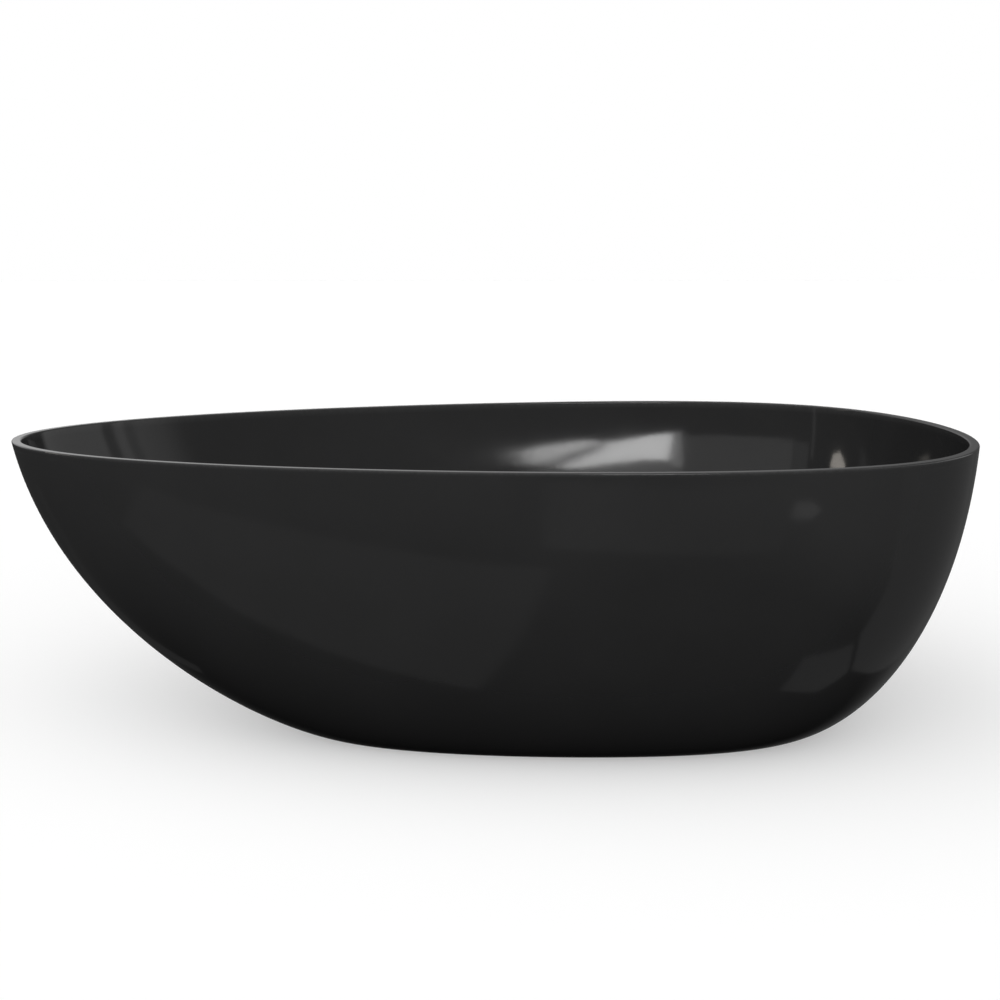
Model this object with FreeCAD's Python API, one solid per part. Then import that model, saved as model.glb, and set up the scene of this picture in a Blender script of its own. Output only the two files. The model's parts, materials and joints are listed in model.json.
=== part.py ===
import FreeCAD, Part
import math
import os

os.makedirs("parts", exist_ok=True)
V = FreeCAD.Vector

# Freestanding egg-shaped bath. Millimetres, +Z up, origin on the floor under the middle of the rim.
# -X is the long sloping end, +X the blunt end.

bath_length = 1700.0
bath_height = 571.0
rim_width = 16.0          # flat top of the rim, both skins together
rim_depth = 12.0          # thickness of the rim ring that caps the two skins
rim_round = 3.0
skirt_gap = 2.0           # the skirt hangs this far above the floor
skirt_wall = 7.0
basin_wall = 8.0
basin_floor_top = 145.0
basin_floor_wall = 10.0
corner_height = 75.0      # rounded foot of the basin wall
corner_reach = 70.0

# plan outline: cosine and sine series of an egg, unit size
egg_cos = (-0.11, 0.0028)
egg_sin = (0.046, 0.0252)
outline_points = 56

# bottom and top reach of the outer skin as fractions of the length, and how it bulges
left_foot, left_top = -0.1816, -0.5
right_foot, right_top = 0.3324, 0.5
side_foot, side_top = 0.0924, 0.275
left_bulge = (0.8345, 2.1013, 1.3211)
right_bulge = (0.9341, 2.2084, 1.7936)
side_bulge = (0.8594, 1.8888, 1.4294)

# waste
drain_x = 455.0
drain_hole_r = 26.0
drain_recess_r = 40.0
drain_recess = 4.0
flange_r = 35.0
tail_r = 23.9             # over the thread
tail_bore_r = 20.0
thread_low = 88.0
spigot_r = 20.0           # plain 40 mm spigot for the trap
spigot_bore_r = 17.0
spigot_low = 46.0
cartridge_seat = 95.0     # ledge where the bore steps down to the spigot's
plug_travel = 8.0

# underframe
rail = 30.0
rail_wall = 2.0
rail_low = 22.0
rail_y = 60.0
rail_from, rail_to = -275.0, 520.0
board_thick = 18.0
feet = [(-260.0, 0.0), (-50.0, -90.0), (-50.0, 90.0), (370.0, -108.0), (370.0, 108.0)]
stud_r = 6.0
running = 0.05


def bulge(s, shape):
    k, p, q = shape
    return (1 - (1 - k * s) ** p) ** (1 / q) / (1 - (1 - k) ** p) ** (1 / q)


def left_at(z):
    return bath_length * (left_foot + (left_top - left_foot) * bulge(z / bath_height, left_bulge))


def right_at(z):
    return bath_length * (right_foot + (right_top - right_foot) * bulge(z / bath_height, right_bulge))


def side_at(z):
    return bath_length * (side_foot + (side_top - side_foot) * bulge(z / bath_height, side_bulge))


def plan_thickness(edge, z, thick):
    # a wall of even thickness measured across the slope is thicker measured level
    slope = (edge(z + 1.0) - edge(z - 1.0)) / 2.0
    return thick * math.sqrt(1 + slope * slope)


def unit_egg(count):
    pts = []
    for i in range(count):
        t = 2 * math.pi * i / count
        ex = math.cos(t) + egg_cos[0] * math.cos(2 * t) + egg_cos[1] * math.cos(3 * t)
        ey = math.sin(t) + egg_sin[0] * math.sin(2 * t) + egg_sin[1] * math.sin(3 * t)
        pts.append((ex, ey))
    fine = [math.pi * i / 2000.0 for i in range(4001)]
    xs = [math.cos(t) + egg_cos[0] * math.cos(2 * t) + egg_cos[1] * math.cos(3 * t) for t in fine]
    ys = [math.sin(t) + egg_sin[0] * math.sin(2 * t) + egg_sin[1] * math.sin(3 * t) for t in fine]
    mid, half, tall = (max(xs) + min(xs)) / 2, (max(xs) - min(xs)) / 2, max(ys)
    return [((x - mid) / half, y / tall) for x, y in pts]


egg = unit_egg(outline_points)


def outline(left, right, side, z):
    mid, half = (left + right) / 2, (right - left) / 2
    pts = [V(mid + half * x, side * y, z) for x, y in egg]
    curve = Part.BSplineCurve()
    curve.interpolate(Points=pts, PeriodicFlag=True)
    return Part.Wire([curve.toShape()])


def skin(levels, inset):
    # inset(edge function, z) is how far the surface lies inside the outer skin, measured level
    wires = []
    for z in levels:
        wires.append(outline(left_at(z) + inset(left_at, z), right_at(z) - inset(right_at, z),
                             side_at(z) - inset(side_at, z), z))
    return Part.makeLoft(wires, True, False)


def ring(r_out, r_in, z_low, z_high, x=0.0, y=0.0):
    body = Part.makeCylinder(r_out, z_high - z_low, V(x, y, z_low))
    return body.cut(Part.makeCylinder(r_in, z_high - z_low, V(x, y, z_low)))


def hexagon(across, z_low, z_high, x=0.0, y=0.0):
    r = across / math.sqrt(3.0)
    pts = [V(x + r * math.cos(math.pi * k / 3), y + r * math.sin(math.pi * k / 3), z_low) for k in range(7)]
    return Part.Face(Part.makePolygon(pts)).extrude(V(0, 0, z_high - z_low))


def box(x0, x1, y0, y1, z0, z1):
    return Part.makeBox(x1 - x0, y1 - y0, z1 - z0, V(x0, y0, z0))


def save(name, shape):
    if isinstance(shape, list):
        shape = Part.makeCompound(shape)
    shape.exportStep("parts/" + name + ".step")
    print(name, "solids", len(shape.Solids), "valid", shape.isValid(), "volume", round(shape.Volume))


# outer skin, from just above the floor up to the rim ring
rim_low = bath_height - rim_depth
skirt_levels = [skirt_gap, 6, 14, 28, 48, 75, 110, 155, 210, 275, 350, 430, 500, rim_low]
outside = skin(skirt_levels, lambda edge, z: 0.0)
inside = skin(skirt_levels, lambda edge, z: plan_thickness(edge, z, skirt_wall))
save("outer_shell", outside.cut(inside))


# basin: follows the outer skin near the rim and draws away from it lower down
def cavity_inset(edge, z):
    height = (z - basin_floor_top) / (bath_height - basin_floor_top)
    spare = 55.0 * (1 - height) ** 2
    inset = rim_width * plan_thickness(edge, min(z, bath_height - 1.0), 1.0) + spare
    rise = (z - basin_floor_top) / corner_height
    if rise < 1:
        inset += corner_reach * (1 - math.sqrt(max(0.0, 1 - (1 - rise) ** 2)))
    return inset


def basin_outside_inset(edge, z):
    # the same curve moved down by the floor thickness and out by the wall
    lift = basin_floor_wall * (rim_low - z) / (rim_low - basin_floor_top + basin_floor_wall)
    wall = basin_wall * plan_thickness(edge, z, 1.0)
    level = z + lift
    drift = abs(edge(level) - edge(z))
    return cavity_inset(edge, level) - wall - drift


def corner_levels(low, high):
    # closer together where the foot of the wall turns
    steps = [0.0, 0.05, 0.18, 0.42, 0.78, 1.35, 2.1, 3.0, 4.0, 5.0]
    top = (high - low) / corner_height
    return [low + corner_height * u for u in steps if u < top - 0.5] + [high]


cavity = skin(corner_levels(basin_floor_top, bath_height), cavity_inset)
basin_low = basin_floor_top - basin_floor_wall
basin_outside = skin(corner_levels(basin_low, rim_low), basin_outside_inset)
def rounding(steps):
    # quarter circle as (height below the top, distance in from the edge)
    turns = [math.pi / 2 * k / steps for k in range(steps + 1)]
    return [(rim_round * (1 - math.sin(a)), rim_round * (1 - math.cos(a))) for a in turns]


def stack(sections):
    # straight bands between sections given as (height, inset in from the outer skin)
    wires = [outline(left_at(z) + inset(left_at, z), right_at(z) - inset(right_at, z),
                     side_at(z) - inset(side_at, z), z) for z, inset in sections]
    return Part.makeLoft(wires, True, True)


outer_sections = [(rim_low, lambda edge, z: 0.0)]
for drop, back in rounding(5):
    outer_sections.append((bath_height - drop, lambda edge, z, back=back: back))
inner_sections = [(bath_height - rim_round - 0.2, lambda edge, z: cavity_inset(edge, z) + 0.05)]
for drop, back in rounding(5)[1:]:
    inner_sections.append((bath_height - drop, lambda edge, z, back=back: cavity_inset(edge, z) - back))
rim_ring = stack(outer_sections)
basin = basin_outside.fuse(rim_ring).cut(cavity).cut(stack(inner_sections))
recess = Part.makeCylinder(drain_recess_r, 60, V(drain_x, 0, basin_floor_top - drain_recess))
hole = Part.makeCylinder(drain_hole_r, 60, V(drain_x, 0, basin_low - 20))
basin = basin.cut(recess).cut(hole)
save("inner_basin", basin)

# plywood board bonded under the basin floor, cut away around the waste
board_high = basin_low
board_low = board_high - board_thick
board = Part.Face(outline(-300.0, 560.0, 150.0, board_low)).extrude(V(0, 0, board_thick))
board = board.cut(Part.makeCylinder(48, 60, V(drain_x, 0, board_low - 20)))
save("floor_board", board)

# welded underframe: two long rails and three cross rails of square tube
rail_high = rail_low + rail
long_rails = []
for side in (-1, 1):
    y = side * rail_y
    long_rails.append(box(rail_from, rail_to, y - rail / 2, y + rail / 2, rail_low, rail_high))
crosses = [(-260.0, rail_y), (-50.0, 107.0), (370.0, 125.0)]
solid = long_rails[0].fuse(long_rails[1])
hollow = None
for x, reach in crosses:
    solid = solid.fuse(box(x - rail / 2, x + rail / 2, -reach, reach, rail_low, rail_high))
for side in (-1, 1):
    y = side * rail_y
    core = box(rail_from + rail_wall, rail_to - rail_wall, y - rail / 2 + rail_wall,
               y + rail / 2 - rail_wall, rail_low + rail_wall, rail_high - rail_wall)
    hollow = core if hollow is None else hollow.fuse(core)
for x, reach in crosses:
    hollow = hollow.fuse(box(x - rail / 2 + rail_wall, x + rail / 2 - rail_wall, -reach + rail_wall,
                             reach - rail_wall, rail_low + rail_wall, rail_high - rail_wall))
frame = solid.cut(hollow)
sleeve_r = 10.0
for x, y in feet:
    frame = frame.cut(Part.makeCylinder(sleeve_r, rail + 20, V(x, y, rail_low - 10)))
save("base_frame", frame)
save("foot_sleeves", [ring(sleeve_r, stud_r + running, rail_low, rail_high + 2, x, y) for x, y in feet])

# posts between the underframe and the floor board
posts = []
for x in (-190.0, 120.0, 300.0):
    for side in (-1, 1):
        y = side * rail_y
        posts.append(box(x - 45, x + 45, y - 20, y + 20, rail_high, board_low))
save("support_posts", posts)

# levelling feet, wound fully in
pad_thick = 9.0
collar_top = 15.0
nut_low, nut_high = 15.3, 21.3
save("foot_lock_nuts", [hexagon(19.0, nut_low, nut_high, x, y)
                        .cut(Part.makeCylinder(stud_r + running, 40, V(x, y, 0))) for x, y in feet])
for number, (x, y) in enumerate(feet, 1):
    pad = Part.makeCylinder(18.0, 4.0, V(x, y, 0))
    pad = pad.fuse(Part.makeCone(18.0, 12.0, pad_thick - 4.0, V(x, y, 4.0)))
    pad = pad.cut(Part.makeCylinder(5.0 + running, pad_thick, V(x, y, 3.95)))
    save("foot_pad_%d" % number, pad)
    stud = Part.makeCylinder(stud_r, 66.0 - collar_top, V(x, y, collar_top))
    stud = stud.fuse(hexagon(17.0, pad_thick + 0.3, collar_top, x, y))
    stud = stud.fuse(Part.makeCylinder(5.0, 8.0, V(x, y, 4.0)))
    save("foot_stud_%d" % number, stud)

# waste: flange and threaded tail in one, clamped through the basin floor
seal_low = basin_floor_top - drain_recess
seal_high = seal_low + 2.0
flange_top = seal_high + 2.5
tail = Part.makeCylinder(flange_r, flange_top - seal_high, V(drain_x, 0, seal_high))
tail = tail.fuse(Part.makeCylinder(tail_r, seal_high - thread_low, V(drain_x, 0, thread_low)))
tail = tail.fuse(Part.makeCylinder(spigot_r, thread_low - spigot_low, V(drain_x, 0, spigot_low)))
tail = tail.cut(Part.makeCylinder(tail_bore_r, 100, V(drain_x, 0, cartridge_seat)))
tail = tail.cut(Part.makeCylinder(spigot_bore_r, 100, V(drain_x, 0, spigot_low - 5)))
lip = [e for e in tail.Edges if abs(e.BoundBox.ZMin - flange_top) < 1e-3 and e.BoundBox.XLength > 60]
tail = tail.makeFillet(1.2, lip)
save("waste_body", tail)
save("drain_top_seal", ring(flange_r - 1.0, 27.0, seal_low, seal_high, drain_x))
save("drain_lower_gasket", ring(38.0, 24.2, basin_low - 3.0, basin_low, drain_x))
save("friction_washer", ring(37.0, 24.2, basin_low - 4.5, basin_low - 3.0, drain_x))
save("back_nut", hexagon(62.0, basin_low - 15.5, basin_low - 4.5, drain_x)
     .cut(Part.makeCylinder(tail_r + running, 60, V(drain_x, 0, 90))))

# push cartridge that the plug clicks in: ring, three arms and a barrel
barrel_low, barrel_high = 95.5, 129.0
barrel = Part.makeCylinder(9.0, barrel_high - barrel_low, V(drain_x, 0, barrel_low))
for k in range(3):
    arm = box(0, 18.5, -1.5, 1.5, 96.0, 104.0)
    arm.rotate(V(0, 0, 0), V(0, 0, 1), 120 * k)
    arm.translate(V(drain_x, 0, 0))
    barrel = barrel.fuse(arm)
barrel = barrel.fuse(ring(19.95, 17.5, cartridge_seat, 104.0, drain_x))
barrel = barrel.cut(Part.makeCylinder(6.6, 27.0, V(drain_x, 0, 98.0)))
barrel = barrel.cut(Part.makeCylinder(3.1, 60.0, V(drain_x, 0, 98.0)))
barrel = barrel.cut(Part.makeCylinder(2.0, 20.0, V(drain_x, 0, 90.0)))
save("cartridge_barrel", barrel)

# plug, standing open
hub_low = 150.5
cap_low = hub_low + 4.0
cap_high = cap_low + 5.0
stem = Part.makeCylinder(3.0, hub_low + 2.0 - 108.0, V(drain_x, 0, 108.0))
stem = stem.cut(ring(8.0, 2.0, 100.0, 114.0, drain_x))
stem = stem.fuse(Part.makeCylinder(6.3, 2.0, V(drain_x, 0, 114.0)))
save("plug_stem", stem)
cam = ring(6.3, 3.0 + running, 116.2, 121.0, drain_x)
for k in range(4):
    notch = box(3.0, 8.0, -0.9, 0.9, 119.0, 122.0)
    notch.rotate(V(0, 0, 0), V(0, 0, 1), 90 * k)
    notch.translate(V(drain_x, 0, 0))
    cam = cam.cut(notch)
save("plug_cam", cam)
cap = Part.makeCylinder(31.0, cap_high - cap_low, V(drain_x, 0, cap_low))
rounded = [e for e in cap.Edges if abs(e.BoundBox.ZMin - cap_high) < 1e-3 and e.BoundBox.XLength > 50]
cap = cap.makeFillet(2.5, rounded)
cap = cap.fuse(Part.makeCylinder(17.0, 4.0, V(drain_x, 0, hub_low)))
cap = cap.cut(ring(18.0, 15.6, hub_low + 1.0, hub_low + 3.4, drain_x))
cap = cap.cut(Part.makeCylinder(3.0, 2.0, V(drain_x, 0, hub_low)))
save("plug_cap", cap)
seal_ring = Part.makeTorus(17.45, 1.2, V(drain_x, 0, hub_low + 2.2))
seal_ring = seal_ring.cut(Part.makeCylinder(15.6, 10, V(drain_x, 0, hub_low - 3)))
seal_ring = seal_ring.cut(ring(17.0, 10.0, hub_low - 3, hub_low + 1.0, drain_x))
save("plug_seal", seal_ring)

# spring under the stem
wire_r, coil_r = 0.45, 5.2
coil_low, coil_high = 98.0 + wire_r, 114.0 - wire_r
helix = Part.makeHelix(2.6, coil_high - coil_low, coil_r)
start = Part.Wire([Part.Circle(V(coil_r, 0, 0), V(0, 1, 0), wire_r).toShape()])
spring = Part.Wire(helix.Edges).makePipeShell([start], True, True)
spring.translate(V(drain_x, 0, coil_low))
save("plug_spring", spring)
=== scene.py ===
import json
import math

import bpy
import numpy as np
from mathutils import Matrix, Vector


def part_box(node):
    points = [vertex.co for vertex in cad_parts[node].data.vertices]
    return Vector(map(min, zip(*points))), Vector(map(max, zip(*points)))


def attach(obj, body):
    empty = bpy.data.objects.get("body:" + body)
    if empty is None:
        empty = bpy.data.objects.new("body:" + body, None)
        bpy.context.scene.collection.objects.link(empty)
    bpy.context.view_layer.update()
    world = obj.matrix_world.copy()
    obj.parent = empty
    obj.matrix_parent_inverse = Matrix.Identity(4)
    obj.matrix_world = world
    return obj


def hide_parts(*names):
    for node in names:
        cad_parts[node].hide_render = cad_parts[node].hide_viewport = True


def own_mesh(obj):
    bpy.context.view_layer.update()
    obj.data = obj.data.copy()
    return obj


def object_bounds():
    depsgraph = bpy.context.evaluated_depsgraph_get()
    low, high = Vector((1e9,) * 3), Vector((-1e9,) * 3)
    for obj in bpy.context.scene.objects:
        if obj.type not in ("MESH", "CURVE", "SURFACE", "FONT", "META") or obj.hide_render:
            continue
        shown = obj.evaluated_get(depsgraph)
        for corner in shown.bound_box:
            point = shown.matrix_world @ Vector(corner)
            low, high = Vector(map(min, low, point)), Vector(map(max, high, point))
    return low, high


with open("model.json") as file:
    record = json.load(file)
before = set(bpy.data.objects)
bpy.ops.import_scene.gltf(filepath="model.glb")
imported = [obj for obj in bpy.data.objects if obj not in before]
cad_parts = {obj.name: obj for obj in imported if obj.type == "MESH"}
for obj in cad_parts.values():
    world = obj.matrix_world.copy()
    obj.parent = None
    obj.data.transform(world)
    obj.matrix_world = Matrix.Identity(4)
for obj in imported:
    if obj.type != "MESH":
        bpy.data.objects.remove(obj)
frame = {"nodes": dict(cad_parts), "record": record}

cadLow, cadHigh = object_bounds()
scene = bpy.context.scene
print("frame loaded,", len(frame["nodes"]), "nodes")


cameraSet = {
    "spot": (-0.1505, -2.1631, 0.8707),
    "downTilt": 11.16,      # degrees below level
    "swing": 4.22,          # degrees towards the blunt end
    "lens": 43.2,
}

camData = bpy.data.cameras.new("tubCamera")
camData.lens = cameraSet["lens"]
camData.sensor_width = 36.0
camData.clip_start = 0.02
camData.clip_end = 200.0
camObject = bpy.data.objects.new("tubCamera", camData)
scene.collection.objects.link(camObject)
camObject.location = cameraSet["spot"]
camObject.rotation_euler = (math.radians(90 - cameraSet["downTilt"]), 0.0,
                            -math.radians(cameraSet["swing"]))
scene.camera = camObject


def meshPiece(name, points, faces, body, marks=None, caps=()):
    # points is an (n, 3) array, faces an (m, 4) array of indices, caps are longer rows that close an end,
    # marks are per-point values for the finishes; the space inside is the sum of a . (b x c) over the
    # triangles, and below zero the faces are turned round
    a, b, c, d = (points[faces[:, k]] for k in range(4))
    space = (a * np.cross(b, c)).sum() + (a * np.cross(c, d)).sum()
    for cap in caps:
        space += (points[cap[0]] * np.cross(points[cap[1:-1]], points[cap[2:]])).sum()
    rows = faces.tolist() + [list(cap) for cap in caps]
    if space < 0:
        rows = [row[::-1] for row in rows]
    mesh = bpy.data.meshes.new(name)
    mesh.from_pydata(points.tolist(), [], rows)
    mesh.update()
    mesh.polygons.foreach_set("use_smooth", np.ones(len(mesh.polygons), dtype=bool))
    for key, values in (marks or {}).items():
        layer = mesh.attributes.new(key, "FLOAT", "POINT")
        layer.data.foreach_set("value", np.asarray(values, dtype=np.float32).ravel())
    piece = bpy.data.objects.new(name, mesh)
    scene.collection.objects.link(piece)
    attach(piece, body)
    return piece


def closedGrid(rows, columns):
    # quads of a grid that closes on itself both ways, like a tyre
    r, c = np.meshgrid(np.arange(rows), np.arange(columns), indexing="ij")
    r2, c2 = (r + 1) % rows, (c + 1) % columns
    quads = np.stack([r * columns + c, r * columns + c2, r2 * columns + c2, r2 * columns + c], -1)
    return quads.reshape(-1, 4)


def tubeFaces(rows, columns):
    # quads of a tube that closes only round itself, and the two rings that cap it
    quads = closedGrid(rows, columns)[:(rows - 1) * columns]
    ring = np.arange(columns)
    return quads, (ring[::-1], ring + (rows - 1) * columns)


bathForm = {
    "length": float(cadHigh.x - cadLow.x),
    "height": float(cadHigh.z),
    "cosTerms": (-0.11, 0.0028),        # second and third cosine terms of the outline
    "sinTerms": (0.046, 0.0252),
    "left": (-0.1816, -0.5, 0.8345, 2.1013, 1.3211),    # foot, top, then how the profile bulges
    "right": (0.3324, 0.5, 0.9341, 2.2084, 1.7936),
    "side": (0.0924, 0.275, 0.8594, 1.8888, 1.4294),
    "rimWidth": 0.016,
    "rimDepth": 0.012,
    "rimRound": 0.003,
    "skirtGap": 0.002,
    "skirtWall": 0.007,
    "basinWall": 0.008,
    "floorTop": 0.145,
    "floorWall": 0.010,
    "cornerHeight": 0.075,
    "cornerReach": 0.070,
    "spare": 0.055,
    "edgeShare": 0.06,      # how far in a row stands that keeps an edge crisp
    "around": 360,          # points round the outline
}


def eggOutline(form):
    # x = cos t + a cos 2t + b cos 3t, y = sin t + c sin 2t + d sin 3t, moved and scaled to reach -1 and 1
    def curve(t):
        x = np.cos(t) + form["cosTerms"][0] * np.cos(2 * t) + form["cosTerms"][1] * np.cos(3 * t)
        y = np.sin(t) + form["sinTerms"][0] * np.sin(2 * t) + form["sinTerms"][1] * np.sin(3 * t)
        return x, y
    xFine, yFine = curve(np.linspace(0, 2 * np.pi, 4001))
    x, y = curve(np.arange(form["around"]) * 2 * np.pi / form["around"])
    middle, half = (xFine.max() + xFine.min()) / 2, (xFine.max() - xFine.min()) / 2
    return (x - middle) / half, y / yFine.max()


def edgeAt(form, which, z):
    # reach = foot + (top - foot) * bulge, bulge = (1 - (1 - k s)^p)^(1/q) over its value at s = 1, where s is
    # the share of the height
    foot, top, k, p, q = form[which]
    s = np.clip(z / form["height"], 0.0, None)
    bulge = (1 - (1 - k * s) ** p) ** (1 / q) / (1 - (1 - k) ** p) ** (1 / q)
    return form["length"] * (foot + (top - foot) * bulge)


def steepness(form, which, z):
    # how much longer a wall of even thickness is when measured level: root of 1 + slope squared
    step = 0.001
    slope = (edgeAt(form, which, z + step) - edgeAt(form, which, z - step)) / (2 * step)
    return np.sqrt(1 + slope ** 2)


def cavityInset(form, which, z):
    # rim width along the slope, plus a reserve that grows towards the floor, plus a quarter ellipse at the
    # floor
    share = (z - form["floorTop"]) / (form["height"] - form["floorTop"])
    inset = form["rimWidth"] * steepness(form, which, np.minimum(z, form["height"] - 0.001))
    inset = inset + form["spare"] * (1 - share) ** 2
    rise = np.clip((z - form["floorTop"]) / form["cornerHeight"], 0, 1)
    return inset + form["cornerReach"] * (1 - np.sqrt(np.clip(1 - (1 - rise) ** 2, 0, None)))


def basinOutsideInset(form, which, z):
    # the cavity's inset a little higher up, less the wall along its slope and the drift between the heights;
    # the step up grows evenly from nothing at the rim to the floor's thickness at the underside
    rimLow = form["height"] - form["rimDepth"]
    lift = form["floorWall"] * (rimLow - z) / (rimLow - form["floorTop"] + form["floorWall"])
    level = z + lift
    wall = form["basinWall"] * steepness(form, which, z)
    drift = np.abs(edgeAt(form, which, level) - edgeAt(form, which, z))
    return cavityInset(form, which, level) - wall - drift


def eggRows(form, z, insets):
    # grid of points: each row is the outline stretched between the left, right and side edges at its height
    ex, ey = eggOutline(form)
    left = edgeAt(form, "left", z) + insets["left"]
    right = edgeAt(form, "right", z) - insets["right"]
    side = edgeAt(form, "side", z) - insets["side"]
    middle, half = (left + right) / 2, (right - left) / 2
    x = middle[:, None] + half[:, None] * ex[None, :]
    y = side[:, None] * ey[None, :]
    return np.stack([x, y, np.repeat(z[:, None], len(ex), 1)], -1)


def evenInsets(rule):
    # one rule for the left, the right and the side edge
    return {which: rule(which) for which in ("left", "right", "side")}


skirtSet = {"rows": 96, "corner": 0.0001, "crowd": 1.7}     # rows crowd towards the foot


def buildSkirt(form, opts):
    # a wall profile carried round the egg: up the outside, over the top edge, down the inside, round the
    # foot; a close row on each side of a corner keeps the shading crisp there
    low, high, near = form["skirtGap"], form["height"] - form["rimDepth"], opts["corner"]
    share = np.linspace(0, 1, opts["rows"]) ** opts["crowd"]
    zOut = np.concatenate([[low], low + near + (high - low - 2 * near) * share, [high]])
    zIn = zOut[::-1]
    outer = eggRows(form, zOut, evenInsets(lambda w: np.zeros_like(zOut)))
    inner = eggRows(form, zIn, evenInsets(lambda w: form["skirtWall"] * steepness(form, w, zIn)))
    edge = form["edgeShare"]
    lip = outer[-1] + (inner[0] - outer[-1]) * edge
    lipIn = inner[0] + (outer[-1] - inner[0]) * edge
    foot = inner[-1] + (outer[0] - inner[-1]) * edge
    footOut = outer[0] + (inner[-1] - outer[0]) * edge
    grid = np.concatenate([outer, lip[None], lipIn[None], inner, foot[None], footOut[None]], 0)
    rows, columns = grid.shape[:2]
    return meshPiece("bathSkirt", grid.reshape(-1, 3), closedGrid(rows, columns), "tub",
                     {"rimWear": np.zeros((rows, columns)), "paintedShadeInside": np.zeros((rows, columns))})


skirt = buildSkirt(bathForm, skirtSet)
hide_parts("outer_shell")
print("outer skin made")


wasteLow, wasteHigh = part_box("waste_body")
wasteMiddle = (wasteLow + wasteHigh) / 2

basinSet = {
    "wallRows": 80,
    "crowd": 2.2,           # rows crowd towards the floor
    "corner": 0.0001,
    "roundSteps": 8,
    "floorRings": 26,
    "recessRadius": 0.040,
    "recessDepth": 0.004,
    "recessRound": 0.0015,
    "seatRadius": 0.034,
    "holeEdge": 0.0004,
    "holeRadius": 0.026,
}


def circleTowards(row, middle, radius, z):
    # circle about the drain whose points lie on the rays from the drain to the points of the row
    toward = row[:, :2] - np.array([middle.x, middle.y])
    toward = toward / np.linalg.norm(toward, axis=1)[:, None]
    flat = np.array([middle.x, middle.y]) + radius * toward
    return np.concatenate([flat, np.full((len(row), 1), z)], 1)


def spread(rowA, rowB, shares):
    # rings between two rows, point by point along straight lines
    return rowA[None] + (rowB - rowA)[None] * shares[:, None, None]


def buildBasin(form, opts):
    # one closed wall: rim underside, round over the rim, down the inside, across the floor to the drain
    # hole, through it and back along the underside
    top, rimLow = form["height"], form["height"] - form["rimDepth"]
    turn = np.linspace(0, np.pi / 2, opts["roundSteps"])
    r = form["rimRound"]
    near = opts["corner"]
    zRim = np.concatenate([[rimLow, rimLow + near, (rimLow + top) / 2], top - r + r * np.sin(turn)])
    back = np.concatenate([[0, 0, 0], r * (1 - np.cos(turn))])
    rimOuter = eggRows(form, zRim, evenInsets(lambda w: back))
    zTop = np.full(3, top)
    flatShare = np.array([0.25, 0.5, 0.75])
    rimFlat = eggRows(form, zTop, evenInsets(lambda w: r + flatShare * (
        cavityInset(form, w, zTop) - 2 * r)))
    zInner = top - r + r * np.sin(turn[::-1])
    backInner = r * (1 - np.cos(turn[::-1]))
    rimInner = eggRows(form, zInner, evenInsets(lambda w: cavityInset(form, w, zInner) - backInner))
    share = np.linspace(0, 1, opts["wallRows"])[1:]
    zWall = top - r - (top - r - form["floorTop"]) * (1 - (1 - share) ** opts["crowd"])
    wall = eggRows(form, zWall, evenInsets(lambda w: cavityInset(form, w, zWall)))
    floorEdge = wall[-1]
    q = opts["recessRound"]
    recessRim = circleTowards(floorEdge, wasteMiddle, opts["recessRadius"] + q, form["floorTop"])
    floor = spread(floorEdge, recessRim, np.linspace(0, 1, opts["floorRings"])[1:])
    lip = np.stack([circleTowards(floorEdge, wasteMiddle, opts["recessRadius"] + q - q * np.sin(a),
                                  form["floorTop"] - q + q * np.cos(a)) for a in turn[1:]])
    zRecess = form["floorTop"] - opts["recessDepth"]
    low = form["floorTop"] - form["floorWall"]
    hole, soft = opts["holeRadius"], opts["holeEdge"]
    recess = [circleTowards(floorEdge, wasteMiddle, rad, z) for rad, z in (
        (opts["recessRadius"], zRecess), (opts["seatRadius"], zRecess), (hole + soft, zRecess),
        (hole, zRecess - soft), (hole, low))]
    zUnder = low + (rimLow - low) * np.linspace(0, 1, opts["wallRows"]) ** opts["crowd"]
    under = eggRows(form, zUnder, evenInsets(lambda w: basinOutsideInset(form, w, zUnder)))
    underside = spread(recess[-1], under[0], np.linspace(0, 1, opts["floorRings"])[1:-1])
    edge = form["edgeShare"]
    seat = spread(under[-1], rimOuter[0], np.array([edge, 1 - edge]))
    grid = np.concatenate([rimOuter, rimFlat, rimInner, wall, floor, lip, np.stack(recess), underside, under,
                           seat], 0)
    rows, columns = grid.shape[:2]
    # the second mask marks the basin's inside, which the finish darkens as painted shade
    wear, inside = np.zeros((rows, columns)), np.zeros((rows, columns))
    wear[-len(turn) + len(rimOuter):len(rimOuter)] = 1.0
    first = len(rimOuter) + len(rimFlat)
    wear[first:first + len(rimInner)] = 1.0
    inside[first + len(rimInner):] = 1.0
    return meshPiece("bathBasin", grid.reshape(-1, 3), closedGrid(rows, columns), "tub",
                     {"rimWear": wear, "paintedShadeInside": inside})


basin = buildBasin(bathForm, basinSet)
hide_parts("inner_basin")
print("basin made")


def newFinish(name):
    finish = bpy.data.materials.new(name)
    finish.use_nodes = True
    tree = finish.node_tree
    shader = tree.nodes["Principled BSDF"]
    coords = tree.nodes.new("ShaderNodeTexCoord")
    return finish, tree, shader, coords


def noiseNode(tree, coords, scale, detail=4.0, rough=0.55):
    node = tree.nodes.new("ShaderNodeTexNoise")
    node.inputs["Scale"].default_value = scale
    node.inputs["Detail"].default_value = detail
    node.inputs["Roughness"].default_value = rough
    tree.links.new(coords.outputs["Object"], node.inputs["Vector"])
    return node


def rampNode(tree, source, stops):
    node = tree.nodes.new("ShaderNodeValToRGB")
    ramp = node.color_ramp
    ramp.elements[0].position, ramp.elements[0].color = stops[0][0], stops[0][1]
    ramp.elements[1].position, ramp.elements[1].color = stops[-1][0], stops[-1][1]
    for at, colour in stops[1:-1]:
        ramp.elements.new(at).color = colour
    tree.links.new(source, node.inputs["Fac"])
    return node


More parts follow.
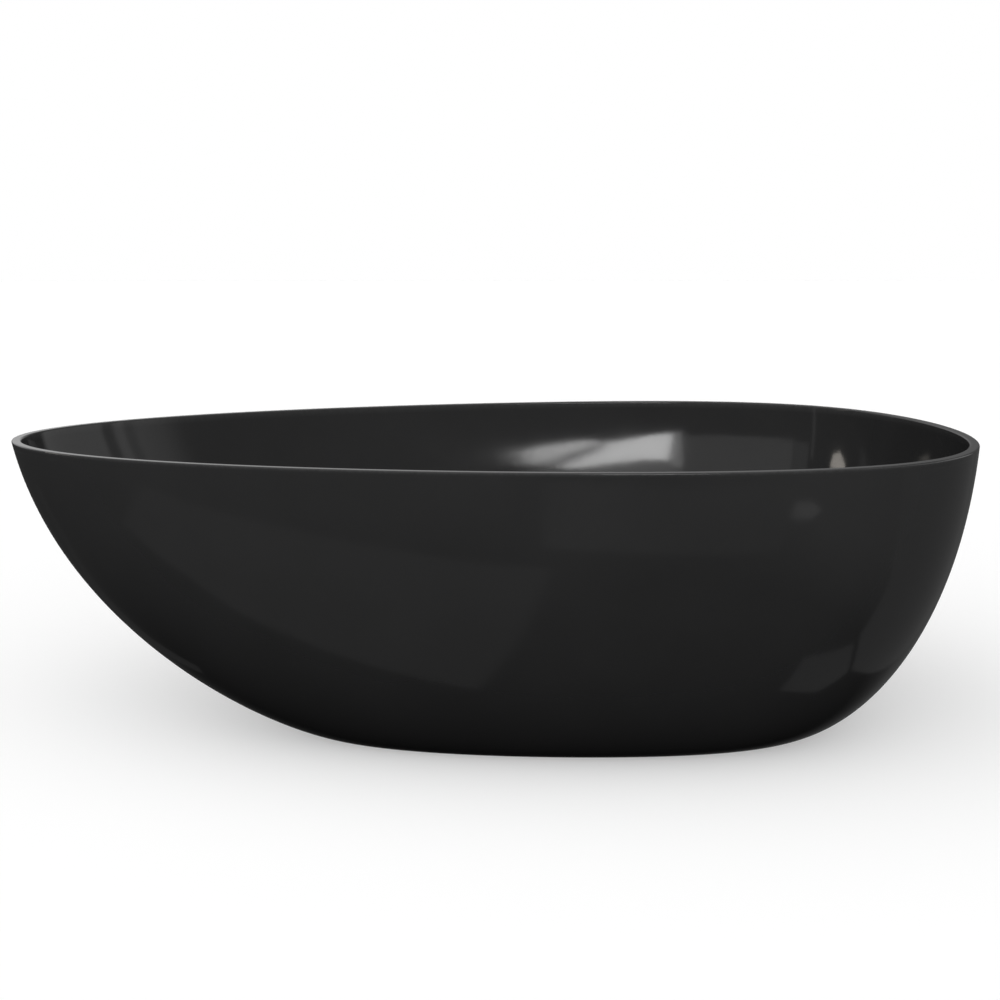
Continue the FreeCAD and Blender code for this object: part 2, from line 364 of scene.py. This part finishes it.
def rangeNode(tree, source, low, high, fromLow=0.3, fromHigh=0.7):
    node = tree.nodes.new("ShaderNodeMapRange")
    node.inputs["From Min"].default_value = fromLow
    node.inputs["From Max"].default_value = fromHigh
    node.inputs["To Min"].default_value = low
    node.inputs["To Max"].default_value = high
    tree.links.new(source, node.inputs["Value"])
    return node


def bumpNode(tree, height, strength, distance, before=None):
    node = tree.nodes.new("ShaderNodeBump")
    node.inputs["Strength"].default_value = strength
    node.inputs["Distance"].default_value = distance
    tree.links.new(height, node.inputs["Height"])
    if before is not None:
        tree.links.new(before.outputs["Normal"], node.inputs["Normal"])
    return node


skinSet = {
    "dark": (0.0192, 0.0192, 0.0194, 1),
    "light": (0.0222, 0.0222, 0.0224, 1),
    "edge": (0.034, 0.034, 0.034, 1),
    "inside": (0.84, 0.84, 0.84, 1),        # painted shade: the basin's inside is darkened to stand in for the lesser light that reaches into it
    "roughLow": 0.070, "roughHigh": 0.105,
    "cloud": 3.5, "speck": 160.0, "haze": 9.0, "peel": 60.0, "grain": 900.0,    # pattern scales
    "wear": (0.15, 0.75),
    "peelBump": (0.05, 0.0006), "grainBump": (0.04, 0.0001),
    "index": 1.49,
}


def makeSkinFinish(opts):
    finish, tree, shader, coords = newFinish("bathSkin")
    cloud = noiseNode(tree, coords, opts["cloud"], 5.0)
    tone = rampNode(tree, cloud.outputs["Fac"], [(0.3, opts["dark"]), (0.7, opts["light"])])
    wear = tree.nodes.new("ShaderNodeAttribute")
    wear.attribute_name = "rimWear"
    speck = noiseNode(tree, coords, opts["speck"], 3.0)
    wearAmount = tree.nodes.new("ShaderNodeMath")
    wearAmount.operation = "MULTIPLY"
    tree.links.new(wear.outputs["Fac"], wearAmount.inputs[0])
    patchy = rangeNode(tree, speck.outputs["Fac"], *opts["wear"])
    tree.links.new(patchy.outputs["Result"], wearAmount.inputs[1])
    mix = tree.nodes.new("ShaderNodeMix")
    mix.data_type = "RGBA"
    tree.links.new(wearAmount.outputs[0], mix.inputs["Factor"])
    tree.links.new(tone.outputs["Color"], mix.inputs[6])
    mix.inputs[7].default_value = opts["edge"]
    # painted shade: where the mask is set, inside the basin, the colour is darkened by a fixed factor in place
    # of the lesser light there
    insideShadeMask = tree.nodes.new("ShaderNodeAttribute")
    insideShadeMask.attribute_name = "paintedShadeInside"
    darkenInside = tree.nodes.new("ShaderNodeMix")
    darkenInside.data_type, darkenInside.blend_type = "RGBA", "MULTIPLY"
    tree.links.new(insideShadeMask.outputs["Fac"], darkenInside.inputs["Factor"])
    tree.links.new(mix.outputs[2], darkenInside.inputs[6])
    darkenInside.inputs[7].default_value = opts["inside"]
    tree.links.new(darkenInside.outputs[2], shader.inputs["Base Color"])
    haze = noiseNode(tree, coords, opts["haze"], 6.0, 0.65)
    rough = rangeNode(tree, haze.outputs["Fac"], opts["roughLow"], opts["roughHigh"])
    tree.links.new(rough.outputs["Result"], shader.inputs["Roughness"])
    peel = noiseNode(tree, coords, opts["peel"], 2.0)
    grain = noiseNode(tree, coords, opts["grain"], 2.0)
    first = bumpNode(tree, peel.outputs["Fac"], *opts["peelBump"])
    second = bumpNode(tree, grain.outputs["Fac"], *opts["grainBump"], first)
    tree.links.new(second.outputs["Normal"], shader.inputs["Normal"])
    shader.inputs["IOR"].default_value = opts["index"]
    return finish


skinFinish = makeSkinFinish(skinSet)
skirt.data.materials.append(skinFinish)
basin.data.materials.append(skinFinish)


# finishes of the smaller pieces: tones, roughness and the grain's size
smallSet = {
    "plywood": {
        "tones": ((0.30, 0.20, 0.11), (0.46, 0.34, 0.21)),
        "rough": (0.55, 0.75), "metal": 0.0,
        "scale": 14.0, "stretch": (1.0, 14.0, 20.0), "bump": 0.25,
    },
    "zinc_steel": {
        "tones": ((0.42, 0.43, 0.45), (0.62, 0.63, 0.64)),
        "rough": (0.30, 0.48), "metal": 1.0,
        "scale": 60.0, "stretch": (1.0, 1.0, 1.0), "bump": 0.08,
    },
    "foot_rubber": {
        "tones": ((0.015, 0.015, 0.015), (0.035, 0.034, 0.033)),
        "rough": (0.65, 0.85), "metal": 0.0,
        "scale": 220.0, "stretch": (1.0, 1.0, 1.0), "bump": 0.3,
    },
    "black_brass": {
        "tones": ((0.010, 0.010, 0.011), (0.022, 0.022, 0.023)),
        "rough": (0.22, 0.34), "metal": 0.6,
        "scale": 120.0, "stretch": (1.0, 1.0, 1.0), "bump": 0.06,
    },
    "bare_brass": {
        "tones": ((0.52, 0.38, 0.17), (0.70, 0.54, 0.28)),
        "rough": (0.25, 0.42), "metal": 1.0,
        "scale": 90.0, "stretch": (1.0, 1.0, 6.0), "bump": 0.08,
    },
    "seal_rubber": {
        "tones": ((0.02, 0.02, 0.02), (0.045, 0.045, 0.045)),
        "rough": (0.6, 0.8), "metal": 0.0,
        "scale": 260.0, "stretch": (1.0, 1.0, 1.0), "bump": 0.2,
    },
    "washer_plastic": {
        "tones": ((0.62, 0.62, 0.58), (0.74, 0.74, 0.70)),
        "rough": (0.38, 0.5), "metal": 0.0,
        "scale": 150.0, "stretch": (1.0, 1.0, 1.0), "bump": 0.08,
    },
    "cam_plastic": {
        "tones": ((0.50, 0.10, 0.06), (0.66, 0.16, 0.10)),
        "rough": (0.32, 0.46), "metal": 0.0,
        "scale": 200.0, "stretch": (1.0, 1.0, 1.0), "bump": 0.08,
    },
    "spring_steel": {
        "tones": ((0.50, 0.51, 0.53), (0.68, 0.69, 0.70)),
        "rough": (0.18, 0.3), "metal": 1.0,
        "scale": 300.0, "stretch": (1.0, 1.0, 1.0), "bump": 0.05,
    },
}


def makeSmallFinish(name, opts):
    finish, tree, shader, coords = newFinish(name)
    place = tree.nodes.new("ShaderNodeMapping")
    place.inputs["Scale"].default_value = opts["stretch"]
    tree.links.new(coords.outputs["Object"], place.inputs["Vector"])
    grain = noiseNode(tree, coords, opts["scale"], 6.0, 0.6)
    tree.links.new(place.outputs["Vector"], grain.inputs["Vector"])
    low, high = opts["tones"]
    tone = rampNode(tree, grain.outputs["Fac"], [(0.32, (*low, 1)), (0.68, (*high, 1))])
    tree.links.new(tone.outputs["Color"], shader.inputs["Base Color"])
    smear = noiseNode(tree, coords, opts["scale"] * 0.3, 5.0)
    rough = rangeNode(tree, smear.outputs["Fac"], *opts["rough"])
    tree.links.new(rough.outputs["Result"], shader.inputs["Roughness"])
    bump = bumpNode(tree, grain.outputs["Fac"], opts["bump"], 0.0004)
    tree.links.new(bump.outputs["Normal"], shader.inputs["Normal"])
    shader.inputs["Metallic"].default_value = opts["metal"]
    return finish


smallFinish = {name: makeSmallFinish(name, opts) for name, opts in smallSet.items()}
slotOfNode = {row["node"]: row["material_slot"] for row in frame["record"]["subparts"]}
for nodeName, cadPiece in frame["nodes"].items():
    if slotOfNode[nodeName] in smallFinish:
        for place in cadPiece.material_slots:
            place.material = smallFinish[slotOfNode[nodeName]]
print("finishes made")


springSet = {
    "pitch": 0.0026,
    "coilRadius": 0.0052,
    "wireRadius": 0.00045,
    "foot": 0.098,              # the end that stays still
    "stepsPerTurn": 30,
    "roundWire": 12,
    "keep": 0.5,                # share of its height left when the plug is down
}


def buildSpring(opts):
    # a round wire along a helix: x = R cos a, y = R sin a, z = low + pitch a / 2 pi, about the drain's
    # middle; each ring stands square to the helix, r cos u outwards and r sin u along the third direction
    low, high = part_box("plug_spring")
    radius, wire = opts["coilRadius"], opts["wireRadius"]
    turns = (high.z - low.z - 2 * wire) / opts["pitch"]
    a = np.linspace(0, 2 * np.pi * turns, int(turns * opts["stepsPerTurn"]))
    u = np.arange(opts["roundWire"]) * 2 * np.pi / opts["roundWire"]
    rise = opts["pitch"] / (2 * np.pi)
    outward = np.stack([np.cos(a), np.sin(a), 0 * a], 1)
    along = np.stack([-radius * np.sin(a), radius * np.cos(a), rise + 0 * a], 1) / math.hypot(radius, rise)
    third = np.cross(outward, along)
    centre = radius * outward + np.array([wasteMiddle.x, wasteMiddle.y, low.z + wire])
    centre[:, 2] += rise * a
    grid = centre[:, None] + wire * (outward[:, None] * np.cos(u)[None, :, None]
                                     + third[:, None] * np.sin(u)[None, :, None])
    faces, caps = tubeFaces(*grid.shape[:2])
    spring = meshPiece("plugCoil", grid.reshape(-1, 3), faces, "tub", caps=caps)
    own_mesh(spring)
    return spring


spring = buildSpring(springSet)
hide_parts("plug_spring")
spring.data.materials.append(smallFinish["spring_steel"])
print("spring made")


studSet = {
    "pitch": 0.00175,
    "threadRadius": 0.006,
    "threadDepth": 0.00107,
    "crestFlat": 0.125,             # share of the pitch left flat at crest and root
    "rowsPerTurn": 8,
    "around": 36,
    "pivotRadius": 0.005,
    "acrossFlats": 0.017,
    "hexFoot": 0.0053, "hexTop": 0.011,     # above the stud's lowest point
    "shave": 0.54,                          # corners cut at this share of the width across flats
    "corner": 0.0004,
}


def buildStud(number, opts):
    # distance from the axis by height and angle: a round pivot; a hexagon, half its width over the cosine of
    # the angle from the middle of the flat; then a thread, its depth a triangle wave of height / pitch less
    # angle / turn
    node = "foot_stud_%d" % number
    low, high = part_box(node)
    angle = np.arange(opts["around"]) * 2 * np.pi / opts["around"]
    even, corner = np.ones(opts["around"]), opts["corner"]
    hexRadius = opts["acrossFlats"] / 2 / np.cos(np.mod(angle, np.pi / 3) - np.pi / 6)
    shaved = np.minimum(hexRadius, opts["acrossFlats"] * opts["shave"])
    hexFoot, hexTop = low.z + opts["hexFoot"], low.z + opts["hexTop"]
    threadRows = int((high.z - hexTop) / opts["pitch"] * opts["rowsPerTurn"])
    zThread = np.linspace(hexTop, high.z - corner, threadRows)
    wave = np.abs(2 * np.mod(zThread[:, None] / opts["pitch"] - angle[None] / (2 * np.pi), 1) - 1)
    cut = np.clip(wave * (1 + 2 * opts["crestFlat"]) - opts["crestFlat"], 0, 1)
    thread = opts["threadRadius"] - opts["threadDepth"] * cut
    pivot = opts["pivotRadius"]
    zHead = [low.z, low.z + corner, hexFoot, hexFoot, hexFoot + corner, hexTop - corner, hexTop]
    head = np.stack([even * (pivot - corner), even * pivot, even * pivot, shaved, hexRadius, hexRadius, shaved])
    tip = even[None] * (opts["threadRadius"] - opts["threadDepth"] - corner)
    z = np.concatenate([zHead, zThread, [high.z]])
    radius = np.concatenate([head, thread, tip])
    middle = (low + high) / 2
    grid = np.stack([middle.x + radius * np.cos(angle), middle.y + radius * np.sin(angle),
                     np.repeat(z[:, None], opts["around"], 1)], -1)
    faces, caps = tubeFaces(*grid.shape[:2])
    stud = meshPiece("footScrew_%d" % number, grid.reshape(-1, 3), faces, "stud_%d" % number, caps=caps)
    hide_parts(node)
    stud.data.materials.append(smallFinish[slotOfNode[node]])


for footNumber in range(1, 6):
    buildStud(footNumber, studSet)
print("foot screws made")


floorSet = {
    "reach": 60.0,
    "colour": (0.67, 0.67, 0.67, 1),
    "rough": 0.9,
    "lift": 0.35,           # keeps the shadows pale
}


def buildFloor(opts):
    n = opts["reach"]
    mesh = bpy.data.meshes.new("floor")
    mesh.from_pydata([(-n, -n, 0), (n, -n, 0), (n, n, 0), (-n, n, 0)], [], [(0, 1, 2, 3)])
    floor = bpy.data.objects.new("floor", mesh)
    scene.collection.objects.link(floor)
    finish, _, shader, _ = newFinish("floorPaint")
    shader.inputs["Base Color"].default_value = opts["colour"]
    shader.inputs["Roughness"].default_value = opts["rough"]
    shader.inputs["Specular IOR Level"].default_value = 0.0
    shader.inputs["Emission Color"].default_value = (1, 1, 1, 1)
    shader.inputs["Emission Strength"].default_value = opts["lift"]
    mesh.materials.append(finish)
    floor.visible_glossy = False
    floor.visible_diffuse = False


buildFloor(floorSet)


# what the gloss reflects, as far panels of even brightness: a divided window and a dim wall over the near
# side, pale patches low down on the near side and beyond both ends; a place is (bearing from straight
# behind, elevation) in degrees
farReach = 80.0


def farOutline(*places):
    # x = reach cos e sin b, y = reach cos e cos b, z = reach sin e
    rows = [(math.radians(bearing), math.radians(up)) for bearing, up in places]
    return [(farReach * math.cos(e) * math.sin(b), farReach * math.cos(e) * math.cos(b),
             farReach * math.sin(e)) for b, e in rows]


panelSet = {
    "windowLeft": {"glow": (8.4, 8.4, 8.4),
                   "outline": farOutline(
                       (162.7, 23.5), (164.0, 21.8), (165.9, 20.8), (168.3, 19.8), (169.0, 20.7),
                       (167.3, 22.9), (165.6, 24.4), (163.6, 27.4), (162.6, 27.8))},
    "windowMain": {"glow": (10.2, 10.2, 10.2),
                   "outline": farOutline(
                       (169.8, 20.9), (172.1, 19.9), (176.0, 18.4), (180.7, 17.3), (178.8, 26.7),
                       (174.4, 26.5), (168.8, 27.9), (165.2, 29.3), (164.5, 28.3), (166.8, 25.4),
                       (168.3, 23.7))},
    "windowSide": {"glow": (2.3, 2.3, 2.3),
                   "outline": farOutline(
                       (180.9, 17.2), (182.7, 16.3), (181.9, 29.1), (179.0, 28.8), (178.9, 26.8))},
    "windowTop": {"glow": (1.1, 1.1, 1.1),
                  "outline": farOutline(
                       (162.6, 28.4), (165.2, 30.0), (168.8, 28.5), (174.4, 27.1), (178.7, 27.3),
                       (178.9, 29.2), (181.9, 29.5), (181.7, 36.0), (162.6, 36.0))},
    "wallFront": {"glow": (0.50, 0.50, 0.50),
                  "outline": farOutline(
                       (183.0, 18.0), (194.0, 17.2), (206.0, 16.4), (220.0, 15.0), (232.0, 13.8),
                       (232.0, 33.0), (206.0, 33.0), (182.0, 31.5))},
    "wallEnd": {"glow": (0.30, 0.30, 0.30),
                "outline": farOutline(
                       (232.4, 13.8), (243.0, 13.0), (243.0, 33.0), (232.4, 33.0))},
    "doorEdge": {"glow": (0.40, 0.40, 0.40),
                 "outline": farOutline(
                       (245.0, 2.0), (246.6, 2.0), (246.6, 17.0), (245.0, 17.0))},
    "lamp": {"glow": (4.8, 4.5, 4.1),
             "outline": [(-3.40, -0.45, 1.62), (-3.40, 0.45, 1.62), (-3.40, 0.35, 1.32), (-3.40, 0.0, 1.20),
                         (-3.40, -0.35, 1.34)]},
    "lowGlint": {"glow": (0.46, 0.46, 0.46),
                 "outline": farOutline(
                       (151.0, -28.0), (147.5, -30.0), (142.0, -29.4), (140.0, -27.2), (143.0, -25.8),
                       (148.0, -26.4))},
    "lowNear": {"glow": (0.095, 0.095, 0.095),
                "outline": farOutline(
                       (-113.3, -24.6), (-124.5, -29.7), (-139.5, -35.6), (-152.4, -40.6), (-163.6, -43.8),
                       (-173.9, -45.0), (-168.0, -62.0), (-135.0, -79.4), (-122.0, -72.0), (-113.6, -60.7),
                       (-108.7, -52.7), (-106.6, -44.2), (-100.3, -31.6))},
    "lowMiddle": {"glow": (0.105, 0.105, 0.105),
                  "outline": farOutline(
                       (187.0, -24.4), (187.3, -40.0), (165.2, -39.7), (147.0, -37.0), (147.0, -22.6))},
    "lowRight": {"glow": (0.120, 0.120, 0.120),
                 "outline": farOutline(
                       (114.0, -5.0), (113.0, -17.4), (109.8, -25.3), (101.4, -35.4), (99.0, -46.0),
                       (83.0, -50.0), (50.0, -31.0), (42.0, -20.0), (50.0, -5.0))},
    "lowCorner": {"glow": (0.115, 0.115, 0.115),
                  "outline": farOutline(
                       (98.7, -64.8), (82.5, -58.0), (83.2, -50.9), (98.0, -48.2), (104.4, -52.5),
                       (113.3, -57.1))},
    "lowLeft": {"glow": (0.045, 0.045, 0.045),
                "outline": farOutline(
                       (-52.7, -17.9), (-50.5, -25.1), (-34.2, -27.0), (-27.2, -28.3), (-39.5, -44.6),
                       (-46.0, -47.0), (-40.9, -37.2), (-44.0, -32.0), (-57.1, -27.1), (-59.8, -19.3))},
}


def buildPanel(name, opts):
    mesh = bpy.data.meshes.new(name)
    mesh.from_pydata(opts["outline"], [], [tuple(range(len(opts["outline"])))])
    panel = bpy.data.objects.new(name, mesh)
    scene.collection.objects.link(panel)
    finish = bpy.data.materials.new(name + "Glow")
    finish.use_nodes = True
    tree = finish.node_tree
    tree.nodes.clear()
    out = tree.nodes.new("ShaderNodeOutputMaterial")
    glow = tree.nodes.new("ShaderNodeEmission")
    glow.inputs["Color"].default_value = (*opts["glow"], 1)
    tree.links.new(glow.outputs["Emission"], out.inputs["Surface"])
    mesh.materials.append(finish)
    panel.visible_camera = False
    panel.visible_diffuse = False
    panel.visible_shadow = False


for panelName, panelOpts in panelSet.items():
    buildPanel(panelName, panelOpts)


worldSet = {
    "backdrop": 1.0,
    "soft": 1.2, "softSpan": (-0.58, -0.22),             # light from all round, gone well below the horizon
    "nearSide": 2.5, "farSide": 0.10,                    # most of it from the near side, little from behind
    "sway": 0.35,                                        # its turn towards the sloping end
    "level": 0.6, "overhead": 1.2,                       # and more of it from above than from level
    "behindLeft": 0.87, "behindRight": 0.12,             # reflected studio behind the bath, by side
    "front": 0.04, "up": 0.5,
    "strips": 0.78,
    "lowLeft": 0.035, "lowRight": 0.095,                 # reflected a little below the horizon
    # the spans over which each of these comes in or fades, as parts of a direction one unit long
    "leanSpan": (-1.0, 0.3), "sideSpan": (-0.45, 0.5), "facingSpan": (0.15, 0.55),
    "overSpan": (0.55, 0.95), "underSpan": (0.45, 0.6), "horizonSpan": (0.0, 0.10),
    "lowSideSpan": (0.0, 0.6), "lowFadeSpan": (-0.72, -0.52),
}

# tall strips beyond the blunt end: bearing as a share of half a turn from straight behind, and brightness
stripStops = [(0.28, 0.0), (0.33, 1.0), (0.600, 1.0), (0.608, 0.35), (0.630, 0.35), (0.638, 1.0), (0.655, 1.0),
              (0.662, 0.5), (0.676, 0.5), (0.683, 0.8), (0.70, 0.7), (0.725, 0.55), (0.75, 0.15), (0.775, 0.0)]


def mathNode(tree, kind, a, b):
    node = tree.nodes.new("ShaderNodeMath")
    node.operation = kind
    for socket, value in ((node.inputs[0], a), (node.inputs[1], b)):
        if isinstance(value, (int, float)):
            socket.default_value = value
        else:
            tree.links.new(value, socket)
    return node.outputs[0]


def spanNode(tree, source, low, high, span):
    return rangeNode(tree, source, low, high, *span).outputs["Result"]


def buildWorld(opts):
    # light comes from all round, mostly from above and the near side; reflections see pale walls behind the
    # bath, dim ones on the near side, tall strips beyond the blunt end, and little below the horizon
    world = bpy.data.worlds.new("studio")
    scene.world = world
    world.use_nodes = True
    tree = world.node_tree
    tree.nodes.clear()
    out = tree.nodes.new("ShaderNodeOutputWorld")
    coords = tree.nodes.new("ShaderNodeTexCoord")
    split = tree.nodes.new("ShaderNodeSeparateXYZ")
    tree.links.new(coords.outputs["Generated"], split.inputs["Vector"])
    x, y, z = split.outputs["X"], split.outputs["Y"], split.outputs["Z"]
    even = spanNode(tree, z, 0.0, opts["soft"], opts["softSpan"])
    tall = spanNode(tree, z, opts["level"], opts["overhead"], (0.0, 1.0))
    across = mathNode(tree, "ADD", y, mathNode(tree, "MULTIPLY", x, opts["sway"]))
    lean = spanNode(tree, across, opts["nearSide"], opts["farSide"], opts["leanSpan"])
    soft = mathNode(tree, "MULTIPLY", mathNode(tree, "MULTIPLY", even, tall), lean)
    side = spanNode(tree, x, opts["behindLeft"], opts["behindRight"], opts["sideSpan"])
    facing = spanNode(tree, y, 0.0, 1.0, opts["facingSpan"])
    behind = mathNode(tree, "MULTIPLY", side, facing)
    over = spanNode(tree, z, 0.0, opts["up"], opts["overSpan"])
    bearing = mathNode(tree, "DIVIDE", mathNode(tree, "ARCTAN2", x, y), math.pi)
    stops = [(at, (level, level, level, 1)) for at, level in stripStops]
    bars = rampNode(tree, bearing, stops).outputs["Color"]
    under = spanNode(tree, z, 1.0, 0.0, opts["underSpan"])
    strips = mathNode(tree, "MULTIPLY", mathNode(tree, "MULTIPLY", bars, under), opts["strips"])
    total = mathNode(tree, "MAXIMUM", mathNode(tree, "MAXIMUM", behind, strips),
                     mathNode(tree, "MAXIMUM", over, opts["front"]))
    horizon = spanNode(tree, z, 0.0, 1.0, opts["horizonSpan"])
    lowSide = spanNode(tree, x, opts["lowLeft"], opts["lowRight"], opts["lowSideSpan"])
    lowFade = spanNode(tree, z, 0.0, 1.0, opts["lowFadeSpan"])
    gloss = mathNode(tree, "MAXIMUM", mathNode(tree, "MULTIPLY", total, horizon),
                     mathNode(tree, "MULTIPLY", lowSide, lowFade))
    shaders = []
    for strength in (soft, gloss, opts["backdrop"]):
        node = tree.nodes.new("ShaderNodeBackground")
        if isinstance(strength, float):
            node.inputs["Strength"].default_value = strength
        else:
            tree.links.new(strength, node.inputs["Strength"])
        node.inputs["Color"].default_value = (1, 1, 1, 1)
        shaders.append(node.outputs["Background"])
    path = tree.nodes.new("ShaderNodeLightPath")
    kinds = (("Is Glossy Ray", shaders[0], shaders[1]), ("Is Camera Ray", None, shaders[2]))
    last = None
    for ray, first, second in kinds:
        mix = tree.nodes.new("ShaderNodeMixShader")
        tree.links.new(path.outputs[ray], mix.inputs["Fac"])
        tree.links.new(first if first is not None else last, mix.inputs[1])
        tree.links.new(second, mix.inputs[2])
        last = mix.outputs["Shader"]
    tree.links.new(last, out.inputs["Surface"])


buildWorld(worldSet)
scene.view_settings.view_transform = "Standard"
print("studio made")
